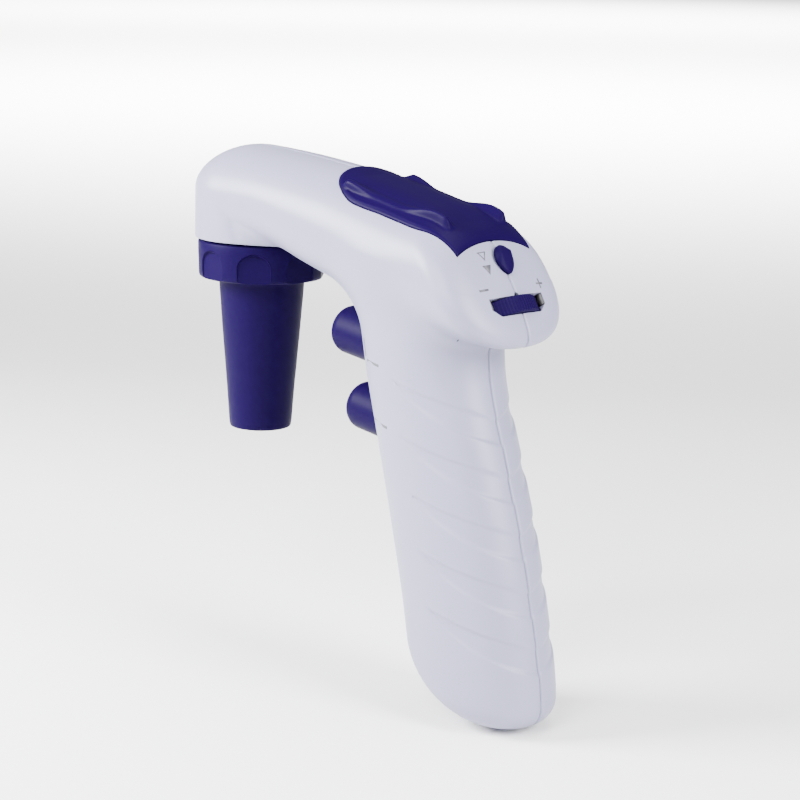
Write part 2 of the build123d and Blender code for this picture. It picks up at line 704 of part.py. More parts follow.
with BuildPart() as board_parts:
    for low, across, wide, tall in ((6, 0, 8, 8), (20, -4, 6, 5), (40, 3, 7, 6)):
        with BuildSketch(grip_plane.offset(low)):
            with Locations((14.8, across)):
                Rectangle(1.6, wide)
        extrude(amount=tall)
board_parts.part.label = "board_parts"
export_step(board_parts.part, "parts/board_parts.step")

with BuildPart() as charging_port:
    with BuildSketch(port_plane):
        RectangleRounded(9.2, 3.4, 1.4)
        RectangleRounded(8.4, 2.6, 1.0, mode=Mode.SUBTRACT)
    extrude(amount=6.0)
    with BuildSketch(port_plane.offset(6.0)):
        RectangleRounded(9.2, 3.4, 1.4)
    extrude(amount=0.8)
    with BuildSketch(port_plane.offset(1.4)):
        Rectangle(6.4, 0.8)
    extrude(amount=5.0)
charging_port.part.label = "charging_port"
export_step(charging_port.part, "parts/charging_port.step")
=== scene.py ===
"""Looks of the motorized pipette controller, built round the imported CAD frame. Metres."""

import json
import math

import bmesh
import bpy
import numpy as np
from mathutils import Matrix, Vector


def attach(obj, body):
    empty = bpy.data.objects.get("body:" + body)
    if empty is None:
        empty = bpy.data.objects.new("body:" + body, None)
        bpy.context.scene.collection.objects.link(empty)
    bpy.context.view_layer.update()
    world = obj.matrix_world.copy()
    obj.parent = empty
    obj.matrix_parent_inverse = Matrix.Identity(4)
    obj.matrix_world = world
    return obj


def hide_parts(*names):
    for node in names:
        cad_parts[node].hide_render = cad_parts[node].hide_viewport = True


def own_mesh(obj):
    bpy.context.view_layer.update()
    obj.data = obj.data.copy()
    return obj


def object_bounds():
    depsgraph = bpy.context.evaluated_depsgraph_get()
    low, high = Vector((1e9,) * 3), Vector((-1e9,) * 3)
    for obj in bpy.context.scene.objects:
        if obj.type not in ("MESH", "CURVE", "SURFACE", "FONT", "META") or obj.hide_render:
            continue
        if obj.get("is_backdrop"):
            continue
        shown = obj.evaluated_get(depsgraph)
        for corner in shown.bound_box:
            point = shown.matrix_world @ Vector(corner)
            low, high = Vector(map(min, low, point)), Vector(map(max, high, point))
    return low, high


MM = 0.001
X_AXIS = np.array([1.0, 0.0, 0.0])
Y_AXIS = np.array([0.0, 1.0, 0.0])
Z_AXIS = np.array([0.0, 0.0, 1.0])
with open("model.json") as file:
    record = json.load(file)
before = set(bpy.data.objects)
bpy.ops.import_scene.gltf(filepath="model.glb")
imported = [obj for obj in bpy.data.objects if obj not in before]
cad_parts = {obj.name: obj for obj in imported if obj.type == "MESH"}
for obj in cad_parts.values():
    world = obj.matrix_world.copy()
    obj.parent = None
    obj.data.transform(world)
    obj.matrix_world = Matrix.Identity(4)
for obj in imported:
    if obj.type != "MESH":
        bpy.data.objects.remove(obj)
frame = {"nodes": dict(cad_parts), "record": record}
cad_box = [list(corner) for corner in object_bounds()]

# ------------------------------------------------------------------ camera
CAMERA_AZIMUTH = math.radians(45.0)
CAMERA_ELEVATION = math.radians(11.82)
CAMERA_ROLL = math.radians(1.39)
CAMERA_DISTANCE = 0.600
CAMERA_TARGET = Vector((0.0601, 0.0, 0.0176))
CAMERA_LENS = 94.95


def make_camera():
    """The main viewpoint: beside the left half, a little above the head."""
    data = bpy.data.cameras.new("camera")
    data.lens = CAMERA_LENS
    data.sensor_width = 36
    data.clip_start = 0.01
    data.clip_end = 20
    cam = bpy.data.objects.new("camera", data)
    bpy.context.scene.collection.objects.link(cam)
    flat = math.cos(CAMERA_ELEVATION)
    back = Vector((math.sin(CAMERA_AZIMUTH) * flat, -math.cos(CAMERA_AZIMUTH) * flat,
                   math.sin(CAMERA_ELEVATION)))
    cam.location = CAMERA_TARGET + back * CAMERA_DISTANCE
    turn = (-back).to_track_quat("-Z", "Y")
    roll = Matrix.Rotation(CAMERA_ROLL, 4, "Z")
    cam.rotation_euler = (turn.to_matrix().to_4x4() @ roll).to_euler()
    bpy.context.scene.camera = cam


make_camera()

# ------------------------------------------------------------------ form of the housing, in mm
REAR_TILT = math.radians(31.5)
REAR_NORMAL = np.array([math.cos(REAR_TILT), 0.0, math.sin(REAR_TILT)])
REAR_UP = np.array([-math.sin(REAR_TILT), 0.0, math.cos(REAR_TILT)])
REAR_POINT = np.array([102.0, 0.0, 55.3])
REAR_CROWN = 90.0
SEAM = 0.09             # half the gap between the housing halves
SEAM_EDGE = 0.34        # the edge rounding along the seam starts this far from the middle
SEAM_DEPTH = 0.32       # how deep that rounding reaches
SEAM_DIP, SEAM_DIP_WIDTH = 0.28, 0.32   # the shallow dip of the whole surface along the seam
SHELL_WALL = 2.2
CELL = 0.55             # spacing of the grid that the housing's surface is traced on

# head: x, widest height, rise above it, drop below it, half width, squareness above, roundness below
HEAD = np.array([
    [-30, 72.4, 13.1, 15.0, 20.1, 1.90, 0.40],
    [0, 72.4, 13.1, 15.0, 20.1, 1.90, 0.40],
    [20, 71.2, 13.0, 15.0, 20.0, 2.0, 0.42],
    [33, 68.6, 14.3, 16.2, 20.1, 2.05, 0.42],
    [46, 65.8, 15.6, 17.0, 20.2, 2.1, 0.43],
    [60, 62.6, 16.1, 18.2, 20.4, 2.1, 0.45],
    [80, 58.6, 15.6, 18.2, 21.0, 2.3, 0.45],
    [98, 55.0, 14.5, 15.6, 22.5, 3.3, 0.43],
    [116, 51.0, 13.0, 12.4, 22.9, 3.3, 0.43],
])
HEAD_ROUND = 6.2        # rounding between the head's sides and its rear face
SKIRT_BOTTOM = 57.45    # lower edge of the round skirt over the nosepiece
SKIRT_TOP = 70.0
SKIRT_ROUND = 0.9
# handle: height, middle along x, half depth, half width
HANDLE = np.array([
    [-70, 97.4, 21.0, 16.8],
    [-52, 94.9, 22.0, 17.3],
    [-36, 91.7, 21.9, 17.3],
    [-14, 86.3, 21.9, 17.3],
    [8, 79.8, 21.5, 16.9],
    [28, 73.9, 21.0, 16.8],
    [42, 71.8, 21.4, 17.2],
    [60, 69.5, 19.5, 16.0],
])
HANDLE_SQUARENESS = 2.15
HANDLE_FOOT = -66.2     # the foot is lowest near the heel and rises towards the front
FOOT_ROUND = 6.5
HANDLE_TOP = 58.0       # the handle ends inside the head
# grip waves on each side of the handle
WAVE_COUNT = 5
WAVE_TOP = 18.8         # height of the first wave's upper edge at the rear seam
WAVE_PITCH = 15.3
WAVE_FALL = 10.2        # how far a wave's upper edge drops from its front end to the seam
WAVE_START = 80.0       # degrees round from the grip's front where the waves begin
WAVE_WIDTH = 8.0
WAVE_DEPTH = 0.5
WAVE_STEP = 1.15


def along(table, at, column):
    """Smooth curve through a table's column, by its first column."""
    xs, ys = table[:, 0], table[:, column]
    slope = np.gradient(ys, xs)
    i = np.clip(np.searchsorted(xs, at) - 1, 0, len(xs) - 2)
    step = xs[i + 1] - xs[i]
    t = np.clip((at - xs[i]) / step, 0, 1)
    a = (1 + 2 * t) * (1 - t) ** 2
    b = t * (1 - t) ** 2 * step
    c = t * t * (3 - 2 * t)
    d = t * t * (t - 1) * step
    return a * ys[i] + b * slope[i] + c * ys[i + 1] + d * slope[i + 1]


def soft_min(a, b, k):
    """Union of two forms, filled in where they meet."""
    h = np.maximum(k - np.abs(a - b), 0) / k
    return np.minimum(a, b) - h * h * k / 4


def soft_max(a, b, k):
    """Overlap of two forms, rounded along their edge."""
    return -soft_min(-a, -b, k)


def smooth(t):
    """Eased step from 0 to 1."""
    t = np.clip(t, 0, 1)
    return t * t * (3 - 2 * t)


def head_field(x, y, z):
    """Below zero inside the head."""
    across = np.where(x < 0, np.sqrt(x * x + y * y), np.abs(y))
    mid, rise, drop, width, up_n, low_n = (along(HEAD, x, c) for c in range(1, 7))
    above = z > mid
    tall = np.where(above, rise, drop)
    n = np.where(above, up_n, 1 / low_n)
    q = ((across / width) ** n + (np.abs(z - mid) / tall) ** n) ** (1 / n)
    body = (q - 1) * np.minimum(tall, width)
    skirt = soft_max(np.sqrt(x * x + y * y) - width, SKIRT_BOTTOM - z, SKIRT_ROUND)
    fillet = 0.02 + 4.0 * smooth((x - 4) / 8) * smooth((66 - z) / 6)
    body = soft_min(body, np.maximum(skirt, z - SKIRT_TOP), fillet)
    body = soft_max(body, SKIRT_BOTTOM - 1.3 * np.maximum(x - 19.6, 0) - z, SKIRT_ROUND)
    ball = REAR_POINT - REAR_NORMAL * REAR_CROWN
    face = np.sqrt((x - ball[0]) ** 2 + y * y + (z - ball[2]) ** 2) - REAR_CROWN
    return soft_max(body, face, HEAD_ROUND)


def handle_field(x, y, z):
    """Below zero inside the handle."""
    mid, depth, width = (along(HANDLE, z, c) for c in range(1, 4))
    n = HANDLE_SQUARENESS
    q = ((np.abs(x - mid) / depth) ** n + (np.abs(y) / width) ** n) ** (1 / n)
    body = (q - 1) * width
    foot = HANDLE_FOOT + 0.0132 * (x - 107) ** 2 + 0.012 * y * y - z
    return soft_max(soft_max(body, foot, FOOT_ROUND), z - HANDLE_TOP, 6.0)


def wave_depth(x, y, z):
    """Depth of the shallow waves on the sides of the grip."""
    mid, depth = along(HANDLE, z, 1), along(HANDLE, z, 2)
    width = along(HANDLE, z, 3)
    around = np.degrees(np.arctan2(np.abs(y) / width, (mid - x) / depth))
    run = np.clip((around - WAVE_START) / (180 - WAVE_START), 0, 1)
    grow = np.clip((around - WAVE_START) / 75, 0, 1)
    tall = np.maximum(WAVE_WIDTH * (1 - (1 - grow) ** 2), 0.3)
    total = np.zeros_like(x)
    for i in range(WAVE_COUNT):
        top = WAVE_TOP - i * WAVE_PITCH + WAVE_FALL * (1 - run)
        step = smooth((top - z) / WAVE_STEP) * smooth((z - top + tall) / WAVE_STEP)
        total = np.maximum(total, step)
    total *= smooth(grow / 0.12) * (1 - 0.35 * smooth((around - 140) / 40))
    return WAVE_DEPTH * total


def housing_field(x, y, z):
    """Below zero inside the whole housing."""
    head, handle = head_field(x, y, z), handle_field(x, y, z)
    fill = 9.6 - 5.2 * smooth((x - 62) / 28)
    form = soft_min(head, handle, fill)
    form = form + wave_depth(x, y, z) * smooth((34 - z) / 4)
    return form + SEAM_DIP * np.exp(-((y / SEAM_DIP_WIDTH) ** 2))


def gradient(field, p, step=0.05):
    """Direction in which the field grows fastest, at each point."""
    g = np.empty_like(p)
    for axis in range(3):
        shift = np.zeros(3)
        shift[axis] = step
        g[:, axis] = (field(*(p + shift).T) - field(*(p - shift).T)) / (2 * step)
    return g


def settle(field, p, rounds=4):
    """Moves points onto the field's zero surface."""
    for _ in range(rounds):
        g = gradient(field, p)
        f = field(*p.T)
        p = p - g * np.clip(f / np.maximum((g * g).sum(1), 0.05), -1.2, 1.2)[:, None]
    return p


def trace(field, low, high, cell):
    """Quads on the field's zero surface, one vertex to each grid cell that it crosses."""
    axes = [np.arange(low[i], high[i] + cell, cell) for i in range(3)]
    shape = tuple(len(a) for a in axes)
    value = np.empty(shape, np.float32)
    for i, x in enumerate(axes[0]):
        yy, zz = np.meshgrid(axes[1], axes[2], indexing="ij")
        value[i] = field(np.full_like(yy, x), yy, zz)
    inside = value < 0
    cells = tuple(s - 1 for s in shape)
    count = np.zeros(cells, np.int8)
    for dx in (0, 1):
        for dy in (0, 1):
            for dz in (0, 1):
                count += inside[dx:dx + cells[0], dy:dy + cells[1], dz:dz + cells[2]]
    crossed = (count > 0) & (count < 8)
    number = np.full(cells, -1, np.int64)
    at = np.argwhere(crossed)
    number[tuple(at.T)] = np.arange(len(at))
    points = np.stack([axes[i][at[:, i]] + cell / 2 for i in range(3)], 1)
    quads = []
    for axis in range(3):
        u, v = (axis + 1) % 3, (axis + 2) % 3
        first = [slice(0, shape[i]) for i in range(3)]
        second = list(first)
        first[axis], second[axis] = slice(0, shape[axis] - 1), slice(1, shape[axis])
        change = inside[tuple(first)] != inside[tuple(second)]
        idx = np.argwhere(change)
        ok = (idx[:, u] > 0) & (idx[:, v] > 0) & (idx[:, u] < cells[u]) & (idx[:, v] < cells[v])
        idx = idx[ok]
        ring = []
        for du, dv in ((-1, -1), (0, -1), (0, 0), (-1, 0)):
            c = idx.copy()
            c[:, u] += du
            c[:, v] += dv
            ring.append(number[tuple(c.T)])
        quad = np.stack(ring, 1)
        out = inside[tuple(idx.T)]
        quad[~out] = quad[~out][:, ::-1]
        quads.append(quad)
    return points, np.concatenate(quads)


# ------------------------------------------------------------------ mesh helpers
def mesh_object(name, points, faces, material=None):
    """A smooth-shaded object from points in mm."""
    data = bpy.data.meshes.new(name)
    data.from_pydata((np.asarray(points) * MM).tolist(), [], [list(map(int, f)) for f in faces])
    data.validate()
    obj = bpy.data.objects.new(name, data)
    bpy.context.scene.collection.objects.link(obj)
    for polygon in data.polygons:
        polygon.use_smooth = True
    if material is not None:
        data.materials.append(material)
    return obj


def outward(obj):
    """Turns every face outwards."""
    bm = bmesh.new()
    bm.from_mesh(obj.data)
    bmesh.ops.recalc_face_normals(bm, faces=bm.faces)
    bm.to_mesh(obj.data)
    bm.free()
    return obj


def apply(obj, kind, **settings):
    """Adds a modifier and bakes it into the mesh."""
    mod = obj.modifiers.new(kind.lower(), kind)
    for key, value in settings.items():
        setattr(mod, key, value)
    graph = bpy.context.evaluated_depsgraph_get()
    baked = bpy.data.meshes.new_from_object(obj.evaluated_get(graph))
    obj.modifiers.clear()
    obj.data = baked


def cut(obj, tool, mode="DIFFERENCE"):
    """Cuts the tool out of the object, and removes the tool."""
    apply(obj, "BOOLEAN", operation=mode, object=tool, solver="MANIFOLD")
    bpy.data.objects.remove(tool)


def ring_solid(name, rings, closed_ends=True):
    """A closed solid from rings of points, all with the same count."""
    rings = np.asarray(rings, float)
    count, size = rings.shape[:2]
    points = rings.reshape(-1, 3)
    faces = []
    for i in range(count - 1):
        for j in range(size):
            k = (j + 1) % size
            faces.append((i * size + j, i * size + k, (i + 1) * size + k, (i + 1) * size + j))
    if closed_ends:
        faces.append(tuple(range(size))[::-1])
        faces.append(tuple((count - 1) * size + j for j in range(size)))
    return outward(mesh_object(name, points, faces))


def circle(centre, u, v, radius, count=64):
    """Points round a circle in the plane of u and v."""
    angle = np.linspace(0, 2 * math.pi, count, endpoint=False)[:, None]
    return np.asarray(centre) + radius * (np.cos(angle) * u + np.sin(angle) * v)


def rounded_box(centre, u, v, half_u, half_v, radius, count=8):
    """Outline of a rounded rectangle in the plane of u and v."""
    points = []
    corners = ((1, 1, 0), (-1, 1, 90), (-1, -1, 180), (1, -1, 270))
    for su, sv, start in corners:
        for i in range(count + 1):
            a = math.radians(start + 90 * i / count)
            pu = su * (half_u - radius) + radius * math.cos(a)
            pv = sv * (half_v - radius) + radius * math.sin(a)
            points.append(np.asarray(centre) + pu * u + pv * v)
    return np.array(points)


DIAL_FACE = np.array([104.5, 0.0, 51.0])
DIAL_CENTRE = DIAL_FACE - REAR_NORMAL * 10.2
KNOB_FACE = DIAL_FACE + REAR_UP * 12.9 - REAR_NORMAL * 0.25
BUTTON_TILT = math.radians(7.0)
BUTTON_IN = np.array([math.cos(BUTTON_TILT), 0.0, -math.sin(BUTTON_TILT)])
BUTTON_UP = np.array([math.sin(BUTTON_TILT), 0.0, math.cos(BUTTON_TILT)])
# tip and height of each button on its tilted axes, and its length
BUTTONS = {"aspirate": (31.3, 39.8, 23.7), "dispense": (40.6, 19.5, 18.6)}
BUTTON_RADIUS = 7.1


def make_housing():
    """Both halves of the housing: one traced surface, split at the seam."""
    low, high = (-23.0, -24.0, -69.5), (120.0, 1.4, 88.5)
    points, quads = trace(housing_field, low, high, CELL)
    points = settle(housing_field, points)
    halves = []
    for side, name in ((-1, "shell_left"), (1, "shell_right")):
        mirrored = points * np.array([1.0, -side, 1.0])
        faces = quads if side < 0 else quads[:, ::-1]
        half = mesh_object(name, mirrored, faces)
        bm = bmesh.new()
        bm.from_mesh(half.data)
        for at, clear in ((SEAM_EDGE, False), (SEAM, True)):
            bmesh.ops.bisect_plane(bm, geom=bm.verts[:] + bm.edges[:] + bm.faces[:],
                                   plane_co=(0, side * at * MM, 0), plane_no=(0, -side, 0), clear_outer=clear)
        near = [v for v in bm.verts if abs(v.co.y) < SEAM_EDGE * MM]
        place = np.array([v.co[:] for v in near]) / MM
        normal = gradient(housing_field, place)
        normal[:, 1] = 0
        normal /= np.linalg.norm(normal, axis=1)[:, None]
        sink = SEAM_DEPTH * (SEAM_EDGE - np.abs(place[:, 1])) / (SEAM_EDGE - SEAM)
        for v, co in zip(near, (place - normal * sink[:, None]) * MM):
            v.co = co
        bmesh.ops.recalc_face_normals(bm, faces=bm.faces)
        bm.to_mesh(half.data)
        bm.free()
        apply(half, "SOLIDIFY", thickness=SHELL_WALL * MM, offset=-1, use_rim=True)
        halves.append(half)
    return halves


def button_cutter(name, grow):
    """A cylinder through the handle's front, a little wider than the button."""
    tip, height = BUTTONS[name][:2]
    start = BUTTON_UP * height + BUTTON_IN * (tip - 2)
    rings = [circle(start + BUTTON_IN * t, BUTTON_UP, Y_AXIS, BUTTON_RADIUS + grow) for t in (0, 34)]
    return ring_solid("cutter", rings)


def face_cutter(outline, low, high):
    """A prism through the rear face, from an outline that lies in it."""
    return ring_solid("cutter", [outline + REAR_NORMAL * low, outline + REAR_NORMAL * high])


def column(x, z, radius, start, end):
    """A cylinder across the object."""
    rings = [circle((x, y, z), X_AXIS, Z_AXIS, radius) for y in (start, end)]
    return ring_solid("cutter", rings)


FACE_CUT = (-4.5, 5.0)  # how far the rear face's openings are cut, below and above it
# X and Z of the five screws
SCREW_POSTS = [(-11.0, 73.0), (56.8, 46.3), (82.8, 55.5), (68.9, -2.5), (81.6, -55.0)]
PORT = np.array([100.5, 0.0, -66.0])


def open_housing(half, side):
    """Cuts every opening of the housing."""
    cut(half, ring_solid("cutter", [circle((0, 0, z), X_AXIS, Y_AXIS, 13.3) for z in (50, 61)]))
    for name in BUTTONS:
        cut(half, button_cutter(name, 0.25))
    # the dial's slot, straight above and with raised corners below
    across = np.linspace(10.4, -10.4, 41)
    lip = 2.1 * smooth((np.abs(across) - 7.3) / 3.4) - 2.6
    slot = np.array([DIAL_FACE + REAR_UP * 2.7 + Y_AXIS * v for v in (-10.3, 10.3)] +
                    [DIAL_FACE + REAR_UP * u + Y_AXIS * v for u, v in zip(lip, across)])
    cut(half, face_cutter(slot, *FACE_CUT))
    notch = np.array([DIAL_FACE + REAR_UP * u + Y_AXIS * v for u, v in
                      ((2.3, -1.1), (2.3, 1.1), (3.2, 0.7), (3.8, 0), (3.2, -0.7))])
    cut(half, face_cutter(notch, *FACE_CUT))
    cut(half, face_cutter(rounded_box(KNOB_FACE, Y_AXIS, REAR_UP, 1.2, 3.6, 0.5), *FACE_CUT))
    # room for the wheel behind the slot, kept just below the face
    turn = np.linspace(0, 2 * math.pi, 64, endpoint=False)
    rise = np.minimum(12.4 * np.cos(turn), 9.3)[:, None]
    pocket = DIAL_CENTRE + rise * REAR_NORMAL + (12.4 * np.sin(turn))[:, None] * Y_AXIS
    cut(half, ring_solid("cutter", [pocket + REAR_UP * u for u in (-2.6, 2.6)]))
    cut(half, ring_solid("cutter", [rounded_box(PORT + Z_AXIS * z, Y_AXIS, X_AXIS, 4.75, 1.85, 1.4)
                                    for z in (-4, 8)]))
    if side > 0:
        for x, z in SCREW_POSTS:
            cut(half, column(x, z, 3.5, 0.4, 16.0 if z > 0 else 13.0), "UNION")
            cut(half, column(x, z, 2.6, 7, 30))


# ------------------------------------------------------------------ top cover
COVER_MIDDLE = 70.0
# half outline of the cover in plan: distance along the head, half width
COVER_EDGE = np.array([
    [94.3, 14.2], [91.8, 14.5], [88.5, 15.0], [82, 15.9], [74, 15.6], [66, 15.5], [59, 15.7], [54, 15.5],
    [49.4, 14.0], [45.6, 11.6], [43.0, 8.2], [41.7, 4.2], [41.3, 0.0],
])
COVER_REAR = 93.2


def cover_outline(count=124):
    """Closed outline of the cover in plan, starting at the rear tip on the right."""
    edge = COVER_EDGE
    run = np.r_[0, np.cumsum(np.hypot(*np.diff(edge, axis=0).T))]
    at = np.linspace(0, run[-1], count)
    table = np.column_stack([run, edge])
    side = np.column_stack([along(table, at, 1), along(table, at, 2)])
    tip_x, tip_y = edge[0]
    y = np.linspace(-tip_y, tip_y, 54)[1:-1]
    rear = np.column_stack([COVER_REAR + (tip_x - COVER_REAR) * (y / tip_y) ** 2, y])
    return np.concatenate([side, side[::-1][1:] * [1, -1], rear])


def top_height(xy):
    """Height of the head's top surface over points in plan."""
    low = np.full(len(xy), 56.0)
    high = np.full(len(xy), 92.0)
    for _ in range(40):
        mid = (low + high) / 2
        inside = plain_field(xy[:, 0], xy[:, 1], mid) < 0
        low, high = np.where(inside, mid, low), np.where(inside, high, mid)
    return (low + high) / 2


def plain_field(x, y, z):
    """The housing without its waves and seam, which the cover follows."""
    return soft_min(head_field(x, y, z), handle_field(x, y, z), 6.0)


def rib_height(x, y):
    """Two bowed anti-roll ribs, tall at both ends and low in the middle."""
    crest = 12.0 - 1.4 * smooth((x - 68) / 18)
    front = smooth((x - 47.8) / 2.6) * (1 - smooth((x - 51) / 11))
    rear = smooth((x - 71) / 13) * (1 - smooth((x - 85.6) / 3.2))
    ends = smooth((x - 47.8) / 3) * (1 - smooth((x - 85.6) / 3.2))
    tall = 0.5 * ends + 1.5 * front + 1.9 * rear
    off = np.abs(y) - crest
    wide = np.where(off > 0, 1.25, 2.1)
    return tall * (1 - smooth((np.abs(off) - 0.2) / wide))


def cover_patch(name, grow, low, high, rings=44):
    """A solid that follows the head's top inside the cover's outline."""
    outline = cover_outline()
    middle = np.array([COVER_MIDDLE, 0.0])
    size = np.hypot(*(outline - middle).T)[:, None]
    outline = outline + (outline - middle) / size * grow
    share = np.linspace(0, 1, rings)[1:] ** 0.75
    plan = [middle[None]] + [middle + (outline - middle) * r for r in share]
    plan = np.concatenate(plan)
    base = np.column_stack([plan, top_height(plan)])
    normal = gradient(plain_field, base)
    normal /= np.linalg.norm(normal, axis=1)[:, None]
    count = len(outline)
    inset = np.concatenate([[size.min()], np.concatenate([(1 - r) * size[:, 0] for r in share])])
    rise = high(plan, inset)
    top = base + normal * rise[:, None]
    bottom = base + normal * low
    faces = []
    total = len(base)
    for j in range(count):
        k = (j + 1) % count
        faces.append((0, 1 + j, 1 + k))
        faces.append((total, total + 1 + k, total + 1 + j))
        for r in range(rings - 2):
            a, b = 1 + r * count, 1 + (r + 1) * count
            faces.append((a + j, b + j, b + k, a + k))
            faces.append((total + a + k, total + b + k, total + b + j, total + a + j))
        edge = 1 + (rings - 2) * count
        faces.append((edge + j, total + edge + j, total + edge + k, edge + k))
    return outward(mesh_object(name, np.concatenate([top, bottom]), faces))


def cover_top(plan, inset):
    """Height of the cover's outer face: rounded edge, thin bead, ribs."""
    x, y = plan[:, 0], plan[:, 1]
    round_over = np.sqrt(np.clip(1 - (1 - np.clip(inset / 1.3, 0, 1)) ** 2, 0, 1))
    bead = 0.15 * np.exp(-((inset - 1.3) / 0.4) ** 2) * (1 - smooth((x - 86) / 4))
    scoop = 0.75 * (1 - smooth(np.abs(y) / 11.5)) * smooth((x - 42) / 8) * (1 - smooth((x - 86) / 5))
    return 0.1 + 0.45 * round_over + bead - scoop + rib_height(x, y) * smooth(inset / 2.0)


def recess_top(plan, inset):
    """Top of the tool that cuts the cover's recess, clear of the surface."""
    return np.full(len(plan), 5.0)


# ------------------------------------------------------------------ materials
def link(tree, output, target):
    """Joins two sockets."""
    tree.links.new(output, target)


def plastic(name, colour, roughness, grain=0.15, sheen=0.0, coat=0.0, speck=0.03, shine=0.5):
    """Moulded plastic: fine mould texture, faint changes of tone and gloss."""
    mat = bpy.data.materials.new(name)
    mat.use_nodes = True
    tree = mat.node_tree
    shader = tree.nodes["Principled BSDF"]
    place = tree.nodes.new("ShaderNodeTexCoord")
    broad = tree.nodes.new("ShaderNodeTexNoise")
    broad.inputs["Scale"].default_value = 45
    broad.inputs["Detail"].default_value = 3
    fine = tree.nodes.new("ShaderNodeTexNoise")
    fine.inputs["Scale"].default_value = 2600
    fine.inputs["Detail"].default_value = 4
    link(tree, place.outputs["Object"], broad.inputs["Vector"])
    link(tree, place.outputs["Object"], fine.inputs["Vector"])
    tone = tree.nodes.new("ShaderNodeMix")
    tone.data_type = "RGBA"
    tone.inputs["A"].default_value = (*[c * (1 - speck) for c in colour], 1)
    tone.inputs["B"].default_value = (*[min(c * (1 + speck), 1) for c in colour], 1)
    link(tree, broad.outputs["Fac"], tone.inputs["Factor"])
    link(tree, tone.outputs["Result"], shader.inputs["Base Color"])
    gloss = tree.nodes.new("ShaderNodeMapRange")
    gloss.inputs["To Min"].default_value = max(roughness - 0.04, 0.02)
    gloss.inputs["To Max"].default_value = roughness + 0.04
    link(tree, broad.outputs["Fac"], gloss.inputs["Value"])
    link(tree, gloss.outputs["Result"], shader.inputs["Roughness"])
    bump = tree.nodes.new("ShaderNodeBump")
    bump.inputs["Strength"].default_value = grain
    bump.inputs["Distance"].default_value = 0.00003
    link(tree, fine.outputs["Fac"], bump.inputs["Height"])
    link(tree, bump.outputs["Normal"], shader.inputs["Normal"])
    shader.inputs["Specular IOR Level"].default_value = shine
    shader.inputs["Coat Weight"].default_value = coat
    shader.inputs["Coat Roughness"].default_value = 0.08
    shader.inputs["Sheen Weight"].default_value = sheen
    return mat


def metal(name, colour, roughness, scale=400, stretch=(1, 1, 12)):
    """Turned or drawn metal with fine brushing."""
    mat = bpy.data.materials.new(name)
    mat.use_nodes = True
    tree = mat.node_tree
    shader = tree.nodes["Principled BSDF"]
    shader.inputs["Base Color"].default_value = (*colour, 1)
    shader.inputs["Metallic"].default_value = 1
    place = tree.nodes.new("ShaderNodeTexCoord")
    spread = tree.nodes.new("ShaderNodeMapping")
    spread.inputs["Scale"].default_value = stretch
    lines = tree.nodes.new("ShaderNodeTexNoise")
    lines.inputs["Scale"].default_value = scale
    link(tree, place.outputs["Object"], spread.inputs["Vector"])
    link(tree, spread.outputs["Vector"], lines.inputs["Vector"])
    gloss = tree.nodes.new("ShaderNodeMapRange")
    gloss.inputs["To Min"].default_value = roughness * 0.7
    gloss.inputs["To Max"].default_value = roughness * 1.3
    link(tree, lines.outputs["Fac"], gloss.inputs["Value"])
    link(tree, gloss.outputs["Result"], shader.inputs["Roughness"])
    bump = tree.nodes.new("ShaderNodeBump")
    bump.inputs["Strength"].default_value = 0.2
    bump.inputs["Distance"].default_value = 0.00002
    link(tree, lines.outputs["Fac"], bump.inputs["Height"])
    link(tree, bump.outputs["Normal"], shader.inputs["Normal"])
    return mat


def clear(name, colour, roughness, transmission=0.6):
    """Clear or milky flexible plastic."""
    mat = plastic(name, colour, roughness, 0.05)
    shader = mat.node_tree.nodes["Principled BSDF"]
    shader.inputs["Transmission Weight"].default_value = transmission
    shader.inputs["IOR"].default_value = 1.42
    return mat


def board(name):
    """Green solder mask with fine copper tracks under it."""
    mat = plastic(name, (0.02, 0.16, 0.07), 0.35, 0.1, speck=0.2)
    tree = mat.node_tree
    shader = tree.nodes["Principled BSDF"]
    place = tree.nodes.new("ShaderNodeTexCoord")
    tracks = tree.nodes.new("ShaderNodeTexBrick")
    tracks.inputs["Scale"].default_value = 160
    tracks.inputs["Color1"].default_value = (0.02, 0.16, 0.07, 1)
    tracks.inputs["Color2"].default_value = (0.03, 0.20, 0.09, 1)
    tracks.inputs["Mortar"].default_value = (0.05, 0.30, 0.12, 1)
    tracks.inputs["Mortar Size"].default_value = 0.06
    link(tree, place.outputs["Object"], tracks.inputs["Vector"])
    link(tree, tracks.outputs["Color"], shader.inputs["Base Color"])
    return mat


